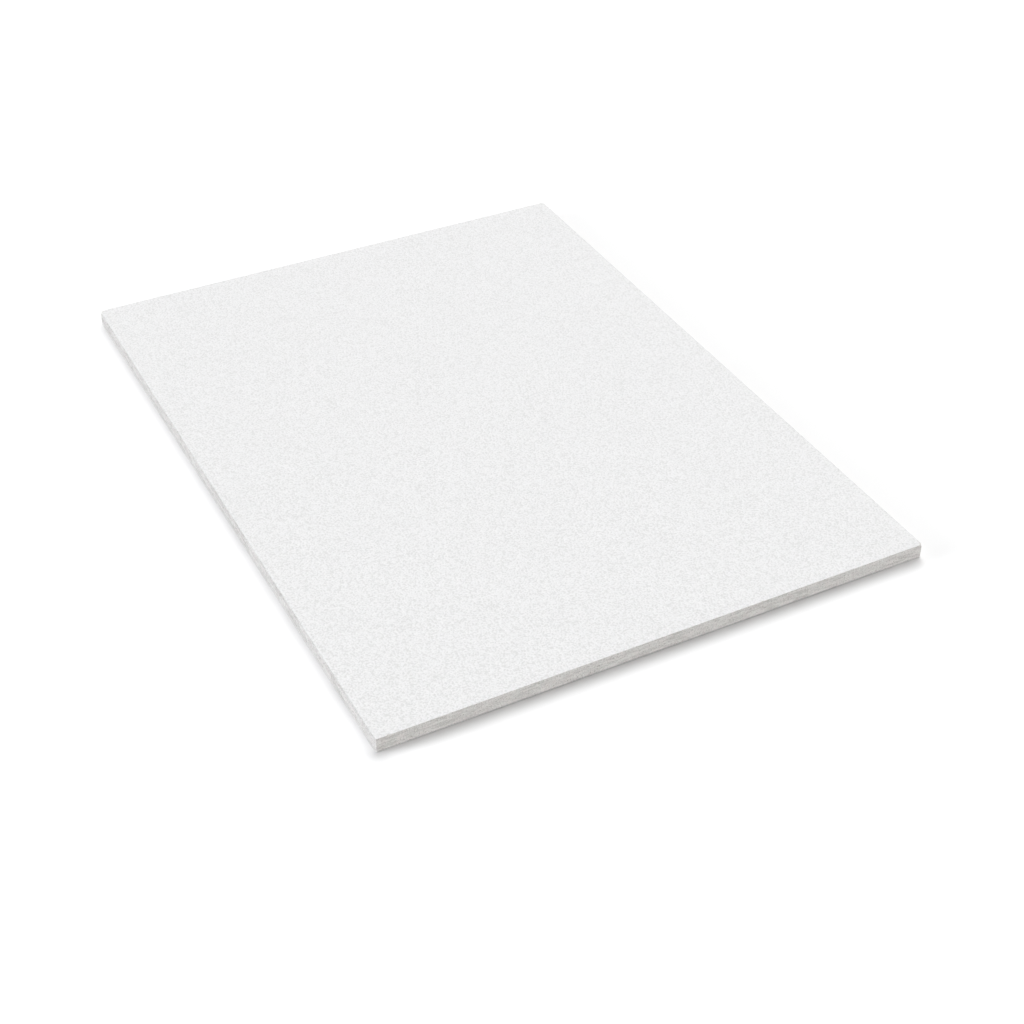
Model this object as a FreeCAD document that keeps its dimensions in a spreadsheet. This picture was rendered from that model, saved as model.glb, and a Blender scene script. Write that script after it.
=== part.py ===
import FreeCAD, Part
import Sketcher
import os

# Square-edge mineral fibre ceiling board: one felted sheet, sawn to size, with a painted face.
# Frame: origin at the centre of the back face, +X across the board, +Y along it, and +Z out of
# the painted face. All sizes are in millimetres.

# alias, size, what it is
DRIVING_SIZES = (
    ("module_width", 600.0, "ceiling grid module across the board"),
    ("module_length", 800.0, "ceiling grid module along the board"),
    ("grid_play", 5.0, "how far the board is cut under its module, both ways"),
    ("board_thickness", 16.0, "back face to painted face"),
    ("corner_radius", 1.0, "rounding of the four upright corners"),
    ("face_arris_radius", 0.6, "easing of the painted face's four sawn edges"),
    ("back_arris_radius", 0.3, "easing of the back face's four sawn edges"),
)

OUT_FOLDER = "parts"
TOUCH = 1e-6  # how near two coordinates are when they count as equal


def make_sheet(doc):
    """The spreadsheet that holds every driving size under its alias."""
    sheet = doc.addObject("Spreadsheet::Sheet", "Sizes")
    for row, (alias, size, meaning) in enumerate(DRIVING_SIZES, start=1):
        sheet.set(f"A{row}", meaning)
        sheet.set(f"B{row}", str(size))
        sheet.setAlias(f"B{row}", alias)
    doc.recompute()
    return sheet


def origin_plane(body, role):
    """One of the body's own origin planes, by its role, such as XY_Plane."""
    return next(f for f in body.Origin.OriginFeatures if f.Role == role)


def draw_centred_rectangle(sketch, width, length):
    """A rectangle centred on the sketch's origin; width and length are expressions."""
    half_x, half_y = 100.0, 150.0  # a first guess, which the expressions replace
    corners = [
        FreeCAD.Vector(-half_x, -half_y),
        FreeCAD.Vector(half_x, -half_y),
        FreeCAD.Vector(half_x, half_y),
        FreeCAD.Vector(-half_x, half_y),
    ]
    for start, end in zip(corners, corners[1:] + corners[:1]):
        sketch.addGeometry(Part.LineSegment(start, end), False)
    front, right, back, left = range(4)
    first, last = 1, 2  # a line's start and end point
    for line, following in ((front, right), (right, back), (back, left), (left, front)):
        sketch.addConstraint(Sketcher.Constraint("Coincident", line, last, following, first))
    for line in (front, back):
        sketch.addConstraint(Sketcher.Constraint("Horizontal", line))
    for line in (right, left):
        sketch.addConstraint(Sketcher.Constraint("Vertical", line))
    origin_point = (-1, 1)
    sketch.addConstraint(
        Sketcher.Constraint("Symmetric", front, first, back, first, *origin_point)
    )
    for name, kind, line, guess, expression in (
        ("width", "DistanceX", front, 2 * half_x, width),
        ("length", "DistanceY", right, 2 * half_y, length),
    ):
        index = sketch.addConstraint(
            Sketcher.Constraint(kind, line, first, line, last, guess)
        )
        sketch.renameConstraint(index, name)
        sketch.setExpression(f"Constraints.{name}", expression)


def edges_where(shape, wanted):
    """The names of the shape's edges whose box passes the test."""
    return [f"Edge{n}" for n, e in enumerate(shape.Edges, start=1) if wanted(e.BoundBox)]


def add_fillet(doc, body, name, wanted, radius):
    """Rounds the edges of the body's tip that pass the test; radius is an expression."""
    fillet = body.newObject("PartDesign::Fillet", name)
    base = fillet.BaseFeature
    fillet.Base = (base, edges_where(base.Shape, wanted))
    fillet.setExpression("Radius", radius)
    doc.recompute()
    return fillet


def make_board(doc, sheet):
    """The board: its outline padded to thickness, then corners and arrises eased."""
    body = doc.addObject("PartDesign::Body", "Board")
    body.Label = "ceiling_board"

    outline = body.newObject("Sketcher::SketchObject", "Outline")
    outline.AttachmentSupport = (origin_plane(body, "XY_Plane"), [""])
    outline.MapMode = "FlatFace"
    draw_centred_rectangle(
        outline,
        width="Sizes.module_width - Sizes.grid_play",
        length="Sizes.module_length - Sizes.grid_play",
    )
    doc.recompute()

    slab = body.newObject("PartDesign::Pad", "Slab")
    slab.Profile = outline
    slab.setExpression("Length", "Sizes.board_thickness")
    doc.recompute()

    thickness = sheet.board_thickness
    add_fillet(
        doc, body, "UprightCorners", lambda box: box.ZLength > thickness - TOUCH, "Sizes.corner_radius"
    )
    add_fillet(
        doc, body, "FaceArris", lambda box: box.ZMin > thickness - TOUCH, "Sizes.face_arris_radius"
    )
    add_fillet(doc, body, "BackArris", lambda box: box.ZMax < TOUCH, "Sizes.back_arris_radius")
    return body


def check(doc, bodies):
    """Stops the script if a feature failed or a sub-part isn't one whole, valid solid."""
    for item in doc.Objects:
        if {"Invalid", "Error"} & set(item.State):
            raise RuntimeError(f"{item.Name} failed: {item.State}")
    for body in bodies:
        shape = body.Shape
        if shape.isNull() or not shape.isValid() or len(shape.Solids) != 1:
            raise RuntimeError(f"{body.Label} isn't one valid solid")


def export(bodies):
    os.makedirs(OUT_FOLDER, exist_ok=True)
    for body in bodies:
        body.Shape.exportStep(os.path.join(OUT_FOLDER, body.Label + ".step"))
        box = body.Shape.optimalBoundingBox(False)
        print(
            f"{body.Label}: {box.XLength:.2f} x {box.YLength:.2f} x {box.ZLength:.2f} mm,"
            f" {body.Shape.Volume / 1e6:.4f} litres"
        )


def main():
    doc = FreeCAD.newDocument("ceiling_board")
    sheet = make_sheet(doc)
    bodies = [make_board(doc, sheet)]
    doc.recompute()
    check(doc, bodies)
    export(bodies)


main()
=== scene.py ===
import math

import bmesh
import bpy
from mathutils import Matrix, Vector, noise


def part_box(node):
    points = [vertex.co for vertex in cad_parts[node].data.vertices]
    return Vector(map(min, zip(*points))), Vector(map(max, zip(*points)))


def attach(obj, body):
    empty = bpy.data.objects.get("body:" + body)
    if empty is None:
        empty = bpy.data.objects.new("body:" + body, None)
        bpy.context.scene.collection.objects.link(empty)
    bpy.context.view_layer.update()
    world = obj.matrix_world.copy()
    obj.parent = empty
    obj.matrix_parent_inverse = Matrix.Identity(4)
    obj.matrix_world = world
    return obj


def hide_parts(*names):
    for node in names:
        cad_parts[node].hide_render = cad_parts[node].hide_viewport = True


# Square-edge mineral fibre ceiling board: white painted face up, sawn grey edges, raw felt back.
# Everything is in metres, in the frame's own coordinates.

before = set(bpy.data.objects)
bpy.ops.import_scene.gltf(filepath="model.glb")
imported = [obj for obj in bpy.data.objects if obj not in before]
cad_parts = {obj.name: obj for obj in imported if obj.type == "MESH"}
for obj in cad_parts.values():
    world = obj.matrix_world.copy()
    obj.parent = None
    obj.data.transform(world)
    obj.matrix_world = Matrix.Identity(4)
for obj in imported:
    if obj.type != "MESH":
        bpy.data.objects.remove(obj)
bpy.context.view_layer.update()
low, high = (Vector(corner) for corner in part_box("ceiling_board"))
centre = (low + high) / 2
half = (high - low) / 2
print("frame loaded, board", [round(side * 1000, 1) for side in high - low], "mm")

# the board's shape
board = {
    "cornerRadius": 0.0010,  # the four upright corners
    "faceArris": 0.0003,     # rounding round the painted face
    "backArris": 0.0003,     # rounding round the back
    "cell": 0.0105,          # first grid of face and back
    "cuts": 2,               # cuts in each grid edge of the face, then again along the sawn edges
    "band": 0.0030,          # strip inside the face's arris that gets the finer cuts
    "rows": 12,              # rows up a sawn edge
    "shortEdge": 0.0020,     # an edge shorter than this isn't cut again
    "cornerSteps": 3,        # facets in each rounding
    "faceSteps": 3,
    "backSteps": 2,
}


def near(a, b):
    return abs(a - b) < 1e-5


def edgesWhere(bm, wanted):
    return [e for e in bm.edges if wanted(e.verts[0].co, e.verts[1].co)]


def roundEdges(bm, edges, radius, segments):
    bmesh.ops.bevel(bm, geom=edges, offset=radius, offset_type="OFFSET", segments=segments,
                    profile=0.5, affect="EDGES", material=-1)


def cutAcross(bm, axis, places):
    for place in places:
        point, normal = Vector(), Vector()
        point[axis], normal[axis] = place, 1
        everything = bm.verts[:] + bm.edges[:] + bm.faces[:]
        bmesh.ops.bisect_plane(bm, geom=everything, dist=1e-7, plane_co=point, plane_no=normal)


def evenPlaces(start, end, count):
    return [start + (end - start) * i / count for i in range(count + 1)]


def makeBoardShape():
    bm = bmesh.new()
    bmesh.ops.create_cube(bm, size=1)
    bmesh.ops.scale(bm, vec=high - low, verts=bm.verts)
    bmesh.ops.translate(bm, vec=centre, verts=bm.verts)

    def atHeight(z):
        return lambda a, b: near(a.z, z) and near(b.z, z)

    roundEdges(bm, edgesWhere(bm, lambda a, b: near(a.x, b.x) and near(a.y, b.y)),
               board["cornerRadius"], board["cornerSteps"])
    roundEdges(bm, edgesWhere(bm, atHeight(high.z)), board["faceArris"], board["faceSteps"])
    roundEdges(bm, edgesWhere(bm, atHeight(low.z)), board["backArris"], board["backSteps"])

    inset = board["faceArris"] + board["band"]
    for axis in (0, 1):
        start, end = low[axis] + inset, high[axis] - inset
        cutAcross(bm, axis, evenPlaces(start, end, round((end - start) / board["cell"])))
    rowPlaces = evenPlaces(low.z + board["backArris"], high.z - board["faceArris"], board["rows"])
    cutAcross(bm, 2, rowPlaces[1:-1])

    def onRim(a, b):  # runs along the outline, outside the finer band's inner line
        middle = (a + b) / 2 - centre
        level = near(a.z, b.z) and (a - b).length > board["shortEdge"]
        besideX = near(a.x, b.x) and abs(middle.x) > half.x - inset + 1e-4
        besideY = near(a.y, b.y) and abs(middle.y) > half.y - inset + 1e-4
        return level and (besideX or besideY)

    def onFace(a, b):
        return near(a.z, high.z) and near(b.z, high.z) and (a - b).length > board["shortEdge"]

    for wanted in (lambda a, b: onRim(a, b) or onFace(a, b), onRim):
        bmesh.ops.subdivide_edges(bm, edges=edgesWhere(bm, wanted), cuts=board["cuts"],
                                  use_grid_fill=True)
    bmesh.ops.triangulate(bm, faces=[f for f in bm.faces if len(f.verts) > 4])
    bm.normal_update()
    return bm


# the board's relief and wear
relief = {
    "swell": (0.070, 0.00010),       # size and depth of the face's slow rise and fall
    "dimple": (0.010, 0.00006),      # size and depth of the face's small hollows
    "sawWander": (0.150, 0.00008),   # how the saw cut leaves its line
    "layer": (0.0026, 0.00012),      # the felt's layers in a sawn edge
    "layerRun": 9.0,                 # how much longer than high a layer is
    "crumb": (0.0030, 0.00030),      # crumbs broken out of a sawn edge
    "rub": (0.0090, 0.00010),        # rubbed stretches of the face's arris
    "nick": (0.0026, 0.00036),       # nicks in the face's arris
    "reach": 0.0016,                 # how far from the arris rubbing goes
    "corner": (0.0035, 0.00018),     # reach and depth of the rubbing on the four upright corners
    "arch": 0.00042,                 # how far the back lifts off the floor under the short edges
    "archReach": (0.020, 0.0030),    # how far that lift goes inward, and up the sawn edge
    "knockDown": 0.8,                # how much a knock pushes down for each unit inward
}

# knocks on the face's arris: its place as shares of the half width and half length, then how far
# it reaches and how deep it is
knocks = (
    (-0.957, -1.0, 0.0022, 0.0016),
    (-1.0, -1.0, 0.0016, 0.0002),
    (1.0, -1.0, 0.0038, 0.0022),
    (-1.0, 1.0, 0.0070, 0.0016),
    (1.0, 1.0, 0.0040, 0.0009),
    (0.36, -1.0, 0.0026, 0.0006),
    (-1.0, -0.46, 0.0028, 0.0007),
    (-1.0, 0.31, 0.0024, 0.0005),
    (1.0, -0.22, 0.0034, 0.0008),
    (1.0, 0.57, 0.0026, 0.0006),
    (-0.38, 1.0, 0.0030, 0.0007),
    (0.61, 1.0, 0.0024, 0.0005),
)


def rough(point, size, seed):  # smooth noise from -1 to 1
    return noise.noise(point / size + Vector((seed * 7.3, seed * 3.1, seed * 5.7)))


def fade(t):  # 1 at 0, 0 from 1 on
    t = min(max(t, 0), 1)
    return (1 - t) ** 2 * (1 + 2 * t)


def wearArris(vert, axis):  # rubbing and nicks along the arris square to the axis
    out = vert.co - centre
    gap = Vector((half[axis] - abs(out[axis]), high.z - vert.co.z)).length
    weight = fade(gap / relief["reach"])
    if weight == 0:
        return
    along = Vector((out.x, out.y, 0))
    along[axis] = math.copysign(half[axis], out[axis])
    rubSize, rubDepth = relief["rub"]
    nickSize, nickDepth = relief["nick"]
    depth = rubDepth * max(0, rough(along, rubSize, 1))
    depth += nickDepth * max(0, rough(along, nickSize, 2) - 0.3)
    vert.co[axis] -= math.copysign(depth * weight, out[axis])
    vert.co.z -= depth * weight


def wearCorner(vert):  # the upright corners, rubbed off a little
    reach, depth = relief["corner"]
    out = vert.co - centre
    gap = Vector((half.x - abs(out.x), half.y - abs(out.y))).length
    pull = depth * fade(gap / reach) * (1 + 0.5 * rough(vert.co, reach, 8)) / math.sqrt(2)
    vert.co.x -= math.copysign(pull, out.x)
    vert.co.y -= math.copysign(pull, out.y)


def wanderCut(vert, axis):  # the saw line's slow wander, felt only beside that edge
    size, depth = relief["sawWander"]
    out = vert.co - centre
    weight = fade((half[axis] - abs(out[axis])) / (2 * board["band"]))
    along = Vector((out.x, out.y, 0))
    along[axis] = math.copysign(half[axis], out[axis])
    vert.co[axis] -= math.copysign(depth * weight * (0.5 + rough(along, size, 3)), out[axis])


def roughenCut(vert, side):  # layers and crumbs in a sawn edge
    size, depth = relief["layer"]
    run = relief["layerRun"]
    stretched = Vector((vert.co.x / run, vert.co.y / run, vert.co.z))
    pull = depth * max(0, 0.3 + rough(stretched, size, 4))
    size, depth = relief["crumb"]
    pull += depth * max(0, rough(vert.co, size, 5) - 0.25)
    vert.co -= side * pull


def archBack(vert):  # the back stands a hair off the floor under the short edges, not at corners
    out = vert.co - centre
    inward, upward = relief["archReach"]
    weight = fade((half.y - abs(out.y)) / inward) * fade((vert.co.z - low.z) / upward)
    vert.co.z += relief["arch"] * weight * (1 - (out.x / half.x) ** 8)


def dentFace(vert):
    for seed, (size, depth) in enumerate((relief["swell"], relief["dimple"]), 6):
        vert.co.z -= depth * (0.5 + rough(Vector((vert.co.x, vert.co.y, 0)), size, seed))


def knock(vert):
    for shareX, shareY, reach, depth in knocks:
        spot = Vector((centre.x + shareX * half.x, centre.y + shareY * half.y, high.z))
        weight = fade((vert.co - spot).length / reach)
        if weight > 0:
            inward = Vector((0, 0, -relief["knockDown"]))
            inward.x = -shareX if abs(shareX) == 1 else 0
            inward.y = -shareY if abs(shareY) == 1 else 0
            vert.co += inward.normalized() * depth * weight


def wearBoard(bm):
    for vert in bm.verts:
        normal = vert.normal.copy()
        if normal.z > 0.95:
            dentFace(vert)
        elif abs(normal.z) < 0.4:
            roughenCut(vert, Vector((normal.x, normal.y, 0)).normalized())
        for axis in (0, 1):
            wearArris(vert, axis)
            wanderCut(vert, axis)
        archBack(vert)
        wearCorner(vert)
        knock(vert)


def makeBoard(finishes):
    bm = makeBoardShape()
    for face in bm.faces:  # painted face 0, sawn edge 1, raw back 2
        face.material_index = 0 if face.normal.z > 0.2 else 2 if face.normal.z < -0.7 else 1
        face.smooth = True
    wearBoard(bm)
    mesh = bpy.data.meshes.new("board")
    bm.to_mesh(mesh)
    bm.free()
    for finish in finishes:
        mesh.materials.append(finish)
    piece = bpy.data.objects.new("board", mesh)
    bpy.context.scene.collection.objects.link(piece)
    mesh.calc_loop_triangles()
    print("board made,", len(mesh.loop_triangles), "triangles")
    return piece


def addNode(tree, kind, inputs=None, **settings):  # an input is given a value or another's output
    made = tree.nodes.new("ShaderNode" + kind)
    for name, value in settings.items():
        setattr(made, name, value)
    for key, value in (inputs or {}).items():
        if isinstance(value, bpy.types.NodeSocket):
            tree.links.new(value, made.inputs[key])
        else:
            made.inputs[key].default_value = value
    return made


def mathOf(tree, operation, a, b=0.0):
    return addNode(tree, "Math", {0: a, 1: b}, operation=operation).outputs[0]


def ramp(tree, value, start, end, low=0.0, high=1.0):  # value from start..end to low..high, clamped
    return addNode(tree, "MapRange", {"Value": value, "From Min": start, "From Max": end,
                                      "To Min": low, "To Max": high}).outputs["Result"]


def mixColour(tree, factor, a, b, blend="MIX"):  # 6, 7 and 2 are the Mix node's colour sockets
    return addNode(tree, "Mix", {0: factor, 6: a, 7: b}, data_type="RGBA", blend_type=blend).outputs[2]


def noiseOf(tree, vector, scale, detail=2.0, roughness=0.5, distortion=0.0):
    return addNode(tree, "TexNoise", {"Vector": vector, "Scale": scale, "Detail": detail,
                                      "Roughness": roughness, "Distortion": distortion}).outputs["Fac"]


def newGroup(name, inputs, outputs):
    group = bpy.data.node_groups.new(name, "ShaderNodeTree")
    for label, kind in inputs:
        group.interface.new_socket(label, in_out="INPUT", socket_type="NodeSocket" + kind)
    for label, kind in outputs:
        group.interface.new_socket(label, in_out="OUTPUT", socket_type="NodeSocket" + kind)
    return group, group.nodes.new("NodeGroupInput").outputs, group.nodes.new("NodeGroupOutput").inputs


def makeGrainGroup():  # sandy mineral grains: their height, a tone that mostly follows it, and the low spots' mask for painted shade
    group, given, out = newGroup("mineralGrain", [("Vector", "Vector"), ("Size", "Float")],
                                 [("Height", "Float"), ("PitShade", "Float"), ("Tone", "Float")])
    scale = mathOf(group, "DIVIDE", 1.0, given["Size"])
    fine = noiseOf(group, given["Vector"], scale, detail=2, roughness=0.6)
    coarse = noiseOf(group, given["Vector"], mathOf(group, "MULTIPLY", scale, 0.31), detail=2)
    grains = addNode(group, "TexVoronoi", {"Vector": given["Vector"], "Smoothness": 0.6,
                                           "Scale": mathOf(group, "MULTIPLY", scale, 0.8)},
                     feature="SMOOTH_F1").outputs["Distance"]
    height = mathOf(group, "SUBTRACT", fine, mathOf(group, "MULTIPLY", grains, 0.5))
    height = mathOf(group, "ADD", height, mathOf(group, "MULTIPLY", coarse, 0.2))
    tone = mathOf(group, "ADD", fine, mathOf(group, "MULTIPLY", coarse, 0.12))
    group.links.new(height, out["Height"])
    # the grain's low spots, the mask that the materials darken as painted shade
    group.links.new(ramp(group, height, 0.35, 0.22), out["PitShade"])
    group.links.new(ramp(group, tone, 0.36, 0.76), out["Tone"])
    return group


def makeLayerGroup():  # the felt's layers, long and thin, lying level in the board
    group, given, out = newGroup("feltLayers", [("Vector", "Vector"), ("Thickness", "Float"),
                                                ("Run", "Float")],
                                 [("Height", "Float"), ("Tone", "Float"), ("CrackShade", "Float")])
    up = mathOf(group, "DIVIDE", 1.0, given["Thickness"])
    across = mathOf(group, "DIVIDE", up, given["Run"])
    stretch = addNode(group, "CombineXYZ", {0: across, 1: across, 2: up}).outputs[0]
    bent = addNode(group, "VectorMath", {0: given["Vector"], 1: stretch},
                   operation="MULTIPLY").outputs[0]
    layers = noiseOf(group, bent, 1.0, detail=4, roughness=0.6, distortion=0.35)
    group.links.new(layers, out["Height"])
    group.links.new(ramp(group, layers, 0.36, 0.60), out["Tone"])
    # thin lines along the layers, where the sawn edge is darkened as painted shade of a crack
    offLine = mathOf(group, "ABSOLUTE", mathOf(group, "SUBTRACT", layers, 0.46))
    patches = noiseOf(group, given["Vector"], mathOf(group, "MULTIPLY", across, 0.6))
    somewhere = ramp(group, patches, 0.46, 0.58)
    crackShade = mathOf(group, "MULTIPLY", ramp(group, offLine, 0.045, 0.02), somewhere)
    group.links.new(crackShade, out["CrackShade"])
    return group


matteGloss = 0.1  # nothing on the board shines


def startMaterial(name, roughness):
    material = bpy.data.materials.new(name)
    material.use_nodes = True
    tree = material.node_tree
    shader = tree.nodes["Principled BSDF"]
    shader.inputs["Roughness"].default_value = roughness
    shader.inputs["Specular IOR Level"].default_value = matteGloss
    return material, tree, shader, addNode(tree, "TexCoord").outputs["Object"]


def useGroup(tree, group, inputs):
    return addNode(tree, "Group", inputs, node_tree=group).outputs


paintedFace = {
    "light": (0.952, 0.949, 0.949, 1),  # paint on grains that stand up, lighter there as painted light
    "dark": (0.829, 0.826, 0.826, 1),   # paint between them, darker there as painted shade
    "shadedPit": (0.72, 0.72, 0.71, 1),    # painted shade down in the grain's low spots
    "shadedPitShare": 0.5,
    "grain": 0.0018,
    "grainDepth": 0.00050,
    "roughness": 0.85,
    "paintEdge": 0.00022,               # how far down the arris the paint goes, at least
    "tear": (0.0022, 0.00040),          # size and height of the tears in the paint's lower edge
    "tearBlur": 0.00005,
}

sawnEdge = {
    "light": (0.980, 0.962, 0.950, 1),
    "dark": (0.625, 0.608, 0.603, 1),
    "fleck": (0.96, 0.95, 0.93, 1),     # pale mineral flecks
    "crumb": (0.46, 0.44, 0.415, 1),    # dark specks, and painted shade along each crack
    "crackShadeShare": 0.35,
    "rusty": (1.0, 0.985, 0.972, 1),    # faint warm and cool patches in the felt
    "mossy": (0.986, 0.996, 0.975, 1),
    "patch": 0.011,                     # sizes of those patches, and of the pale and dark specks
    "speck": 0.0015,
    "layer": 0.0030,                    # thickness of a layer, and its length in thicknesses
    "run": 6.0,
    "layerShare": 0.35,                 # how much of the tone the layers make, the grain the rest
    "layerRelief": 0.6,                 # height of the layers against the grain's
    "grain": 0.0014,
    "depth": 0.00055,
    "roughness": 0.95,
}

rawBack = {
    "light": (0.70, 0.675, 0.635, 1),
    "dark": (0.52, 0.495, 0.46, 1),
    "screen": 0.0032,       # spacing of the forming screen's print
    "screenRelief": 0.25,   # its height against the grain's
    "cloud": 0.045,
    "shadedPitShare": 0.6,
    "depth": 0.00035,
    "grain": 0.0016,
    "roughness": 0.95,
}


def sawnColour(tree, coords, groups):
    layers = useGroup(tree, groups["layers"], {"Vector": coords, "Thickness": sawnEdge["layer"],
                                               "Run": sawnEdge["run"]})
    grain = useGroup(tree, groups["grain"], {"Vector": coords, "Size": sawnEdge["grain"]})
    tone = mathOf(tree, "ADD", mathOf(tree, "MULTIPLY", layers["Tone"], sawnEdge["layerShare"]),
                  mathOf(tree, "MULTIPLY", grain["Tone"], 1 - sawnEdge["layerShare"]))
    colour = mixColour(tree, tone, sawnEdge["dark"], sawnEdge["light"])
    specks = noiseOf(tree, coords, 1 / sawnEdge["speck"], detail=1)
    colour = mixColour(tree, ramp(tree, specks, 0.60, 0.70), colour, sawnEdge["fleck"])
    colour = mixColour(tree, ramp(tree, specks, 0.37, 0.29), colour, sawnEdge["crumb"])
    # painted shade: thin dark lines along the felt's layers, as if down in a crack
    crackShade = mathOf(tree, "MULTIPLY", layers["CrackShade"], sawnEdge["crackShadeShare"])
    colour = mixColour(tree, crackShade, colour, sawnEdge["crumb"])
    patches = noiseOf(tree, coords, 1 / sawnEdge["patch"], detail=3, roughness=0.6)
    tint = mixColour(tree, ramp(tree, patches, 0.38, 0.62), sawnEdge["rusty"], sawnEdge["mossy"])
    colour = mixColour(tree, 1.0, colour, tint, "MULTIPLY")
    layerHeight = mathOf(tree, "MULTIPLY", layers["Height"], sawnEdge["layerRelief"])
    return colour, mathOf(tree, "ADD", layerHeight, grain["Height"])


def bump(tree, height, depth):
    return addNode(tree, "Bump", {"Height": height, "Distance": depth, "Strength": 1}).outputs[0]


def makePaintedFace(groups):
    material, tree, shader, coords = startMaterial("painted face", paintedFace["roughness"])
    grain = useGroup(tree, groups["grain"], {"Vector": coords, "Size": paintedFace["grain"]})
    # painted light and shade of the sandy grain: the paint's tone follows the grain's height
    paint = mixColour(tree, grain["Tone"], paintedFace["dark"], paintedFace["light"])
    # painted shade: the paint darkened in the grain's low spots
    pitShade = mathOf(tree, "MULTIPLY", grain["PitShade"], paintedFace["shadedPitShare"])
    paint = mixColour(tree, pitShade, paint, paintedFace["shadedPit"])
    felt = sawnColour(tree, coords, groups)[0]

    height = addNode(tree, "SeparateXYZ", {0: coords}).outputs["Z"]
    size, depth = paintedFace["tear"]
    tears = mathOf(tree, "MULTIPLY", noiseOf(tree, coords, 1 / size, detail=3), depth)
    line = high.z - paintedFace["paintEdge"]
    blur = paintedFace["tearBlur"]
    bare = ramp(tree, mathOf(tree, "ADD", height, tears), line + blur, line - blur)
    tree.links.new(mixColour(tree, bare, paint, felt), shader.inputs["Base Color"])
    tree.links.new(bump(tree, grain["Height"], paintedFace["grainDepth"]), shader.inputs["Normal"])
    return material


def makeSawnEdge(groups):
    material, tree, shader, coords = startMaterial("sawn edge", sawnEdge["roughness"])
    colour, height = sawnColour(tree, coords, groups)
    tree.links.new(colour, shader.inputs["Base Color"])
    tree.links.new(bump(tree, height, sawnEdge["depth"]), shader.inputs["Normal"])
    return material


def makeRawBack(groups):
    material, tree, shader, coords = startMaterial("raw back", rawBack["roughness"])
    grain = useGroup(tree, groups["grain"], {"Vector": coords, "Size": rawBack["grain"]})
    axes = addNode(tree, "SeparateXYZ", {0: coords}).outputs
    turns = 2 * math.pi / rawBack["screen"]
    waves = [mathOf(tree, "SINE", mathOf(tree, "MULTIPLY", axes[i], turns)) for i in (0, 1)]
    screen = mathOf(tree, "MULTIPLY", waves[0], waves[1])
    cloudy = noiseOf(tree, coords, 1 / rawBack["cloud"], detail=4)
    colour = mixColour(tree, cloudy, rawBack["dark"], rawBack["light"])
    # painted shade: the back darkened in the grain's low spots
    pitShade = mathOf(tree, "MULTIPLY", grain["PitShade"], rawBack["shadedPitShare"])
    colour = mixColour(tree, pitShade, colour, rawBack["dark"])
    height = mathOf(tree, "ADD", grain["Height"], mathOf(tree, "MULTIPLY", screen, rawBack["screenRelief"]))
    tree.links.new(colour, shader.inputs["Base Color"])
    tree.links.new(bump(tree, height, rawBack["depth"]), shader.inputs["Normal"])
    return material


groups = {"grain": makeGrainGroup(), "layers": makeLayerGroup()}
finishes = [makePaintedFace(groups), makeSawnEdge(groups), makeRawBack(groups)]
print("finishes made,", ", ".join(finish.name for finish in finishes))
piece = makeBoard(finishes)
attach(piece, "root")
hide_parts("ceiling_board")


def seenDirectly(tree):  # 1 for what the camera sees, also in gloss or through glass, else 0
    path = addNode(tree, "LightPath").outputs
    seen = mathOf(tree, "MAXIMUM", path["Is Camera Ray"], path["Is Glossy Ray"])
    return mathOf(tree, "MAXIMUM", seen, path["Is Transmission Ray"])


floor = {
    "size": 30.0,
    "seen": 1.14,    # the floor's white as the camera sees it, above 1 so that it lights up white
    "bounce": 0.1,   # its grey for the light that it sends back onto the board
    "gap": 0.0001,   # the rough back's high spots hold the board this far off the floor
}


def makeFloor():
    bm = bmesh.new()
    bmesh.ops.create_grid(bm, x_segments=1, y_segments=1, size=floor["size"])
    bmesh.ops.translate(bm, vec=(0, 0, low.z - floor["gap"]), verts=bm.verts)
    mesh = bpy.data.meshes.new("floor")
    bm.to_mesh(mesh)
    bm.free()
    material = bpy.data.materials.new("white floor")
    material.use_nodes = True
    tree = material.node_tree
    tree.nodes.remove(tree.nodes["Principled BSDF"])
    bounce = addNode(tree, "BsdfDiffuse", {"Color": (*[floor["bounce"]] * 3, 1)})
    seen = addNode(tree, "BsdfDiffuse", {"Color": (*[floor["seen"]] * 3, 1)})
    mixed = addNode(tree, "MixShader", {0: seenDirectly(tree), 1: bounce.outputs[0],
                                        2: seen.outputs[0]})
    tree.links.new(mixed.outputs[0], tree.nodes["Material Output"].inputs["Surface"])
    mesh.materials.append(material)
    plane = bpy.data.objects.new("floor", mesh)
    bpy.context.scene.collection.objects.link(plane)


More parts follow.
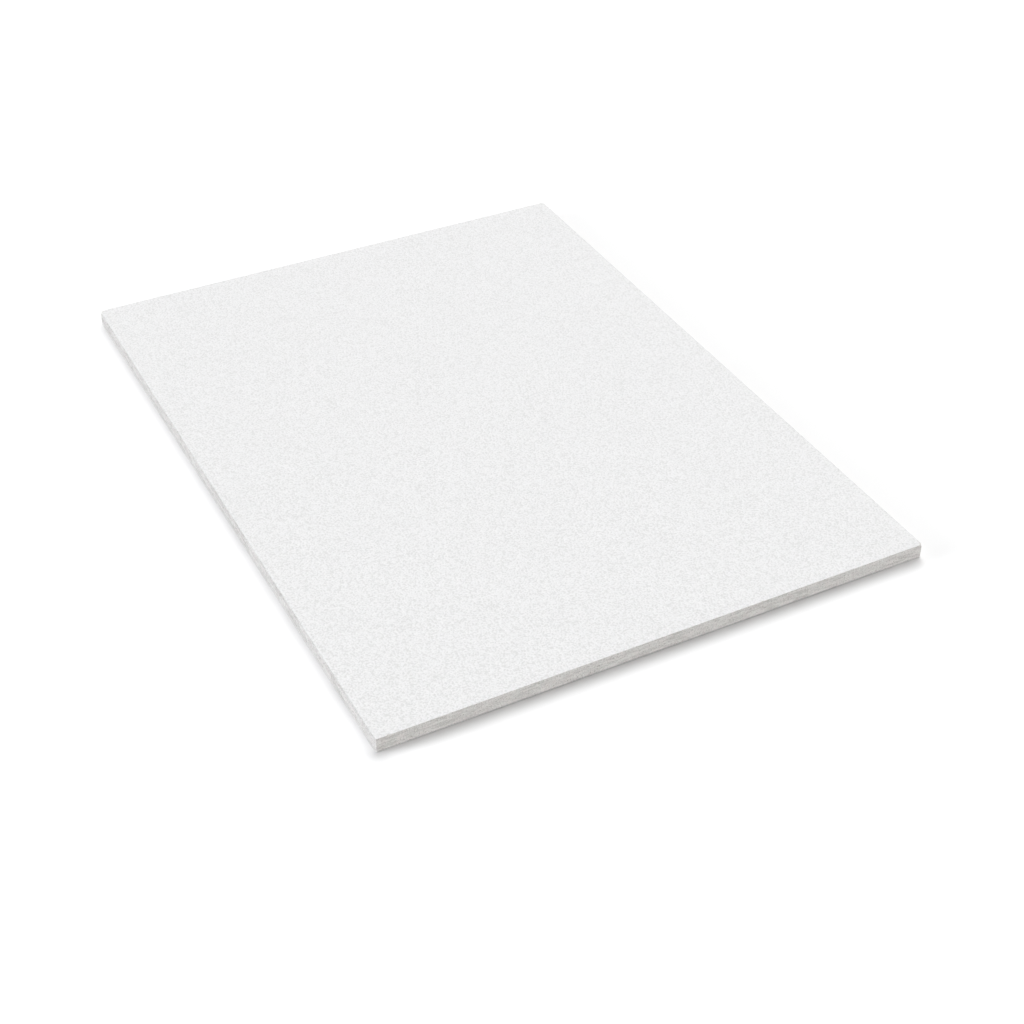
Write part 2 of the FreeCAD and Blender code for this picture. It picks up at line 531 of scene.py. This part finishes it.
# soft lamps: azimuth that the light comes from, clockwise from +Y, height above the horizon and
# spread, all in degrees, then strength and colour
lamps = {
    "window": (34, 52, 55, 0.79, (1, 1, 1)),
    "right": (90, 10, 20, 0.25, (1, 1, 1)),
    "backLeft": (300, 25, 28, 0.115, (1, 1, 1)),
    "left": (285, 10, 20, 0.79, (0.985, 1, 1.04)),
    "front": (180, 10, 20, 0.635, (1, 1, 1)),
}
ambient = 0.04  # even light from all round


def makeLamps():
    for name, (azimuth, rise, spread, strength, colour) in lamps.items():
        lamp = bpy.data.lights.new(name, "SUN")
        lamp.energy = math.pi * strength
        lamp.color = colour
        lamp.angle = math.radians(spread)
        holder = bpy.data.objects.new(name, lamp)
        turn, tilt = math.radians(azimuth), math.radians(rise)
        source = Vector((math.sin(turn) * math.cos(tilt), math.cos(turn) * math.cos(tilt),
                         math.sin(tilt)))
        holder.rotation_euler = source.to_track_quat("Z", "Y").to_euler()
        bpy.context.scene.collection.objects.link(holder)


def makeWorld():
    world = bpy.data.worlds.new("studio")
    bpy.context.scene.world = world
    world.use_nodes = True
    tree = world.node_tree
    background = tree.nodes["Background"]
    background.inputs["Color"].default_value = (1, 1, 1, 1)
    strength = mathOf(tree, "MAXIMUM", seenDirectly(tree), ambient)
    tree.links.new(strength, background.inputs["Strength"])


camera = {
    "lens": 62.94,
    "sensor": 36.0,
    "azimuth": 27.87,   # the way it looks, clockwise from +Y
    "tilt": 37.98,      # how far it looks down
    "roll": 0.51,
    "aim": (-0.0328, -0.1476),
    "distance": 1.842,
}


def makeCamera():
    data = bpy.data.cameras.new("camera")
    data.lens = camera["lens"]
    data.sensor_width = camera["sensor"]
    holder = bpy.data.objects.new("camera", data)
    bpy.context.scene.collection.objects.link(holder)
    turn, tilt, roll = (math.radians(camera[k]) for k in ("azimuth", "tilt", "roll"))
    look = Vector((math.sin(turn) * math.cos(tilt), math.cos(turn) * math.cos(tilt),
                   -math.sin(tilt)))
    aim = Vector((centre.x + camera["aim"][0], centre.y + camera["aim"][1], low.z))
    level = look.to_track_quat("-Z", "Y").to_matrix()
    holder.matrix_world = (Matrix.Translation(aim - look * camera["distance"])
                           @ (level @ Matrix.Rotation(roll, 3, "Z")).to_4x4())
    bpy.context.scene.camera = holder


makeFloor()
makeLamps()
makeWorld()
makeCamera()
bpy.context.scene.view_settings.view_transform = "Standard"
print("stage, lamps and camera made")
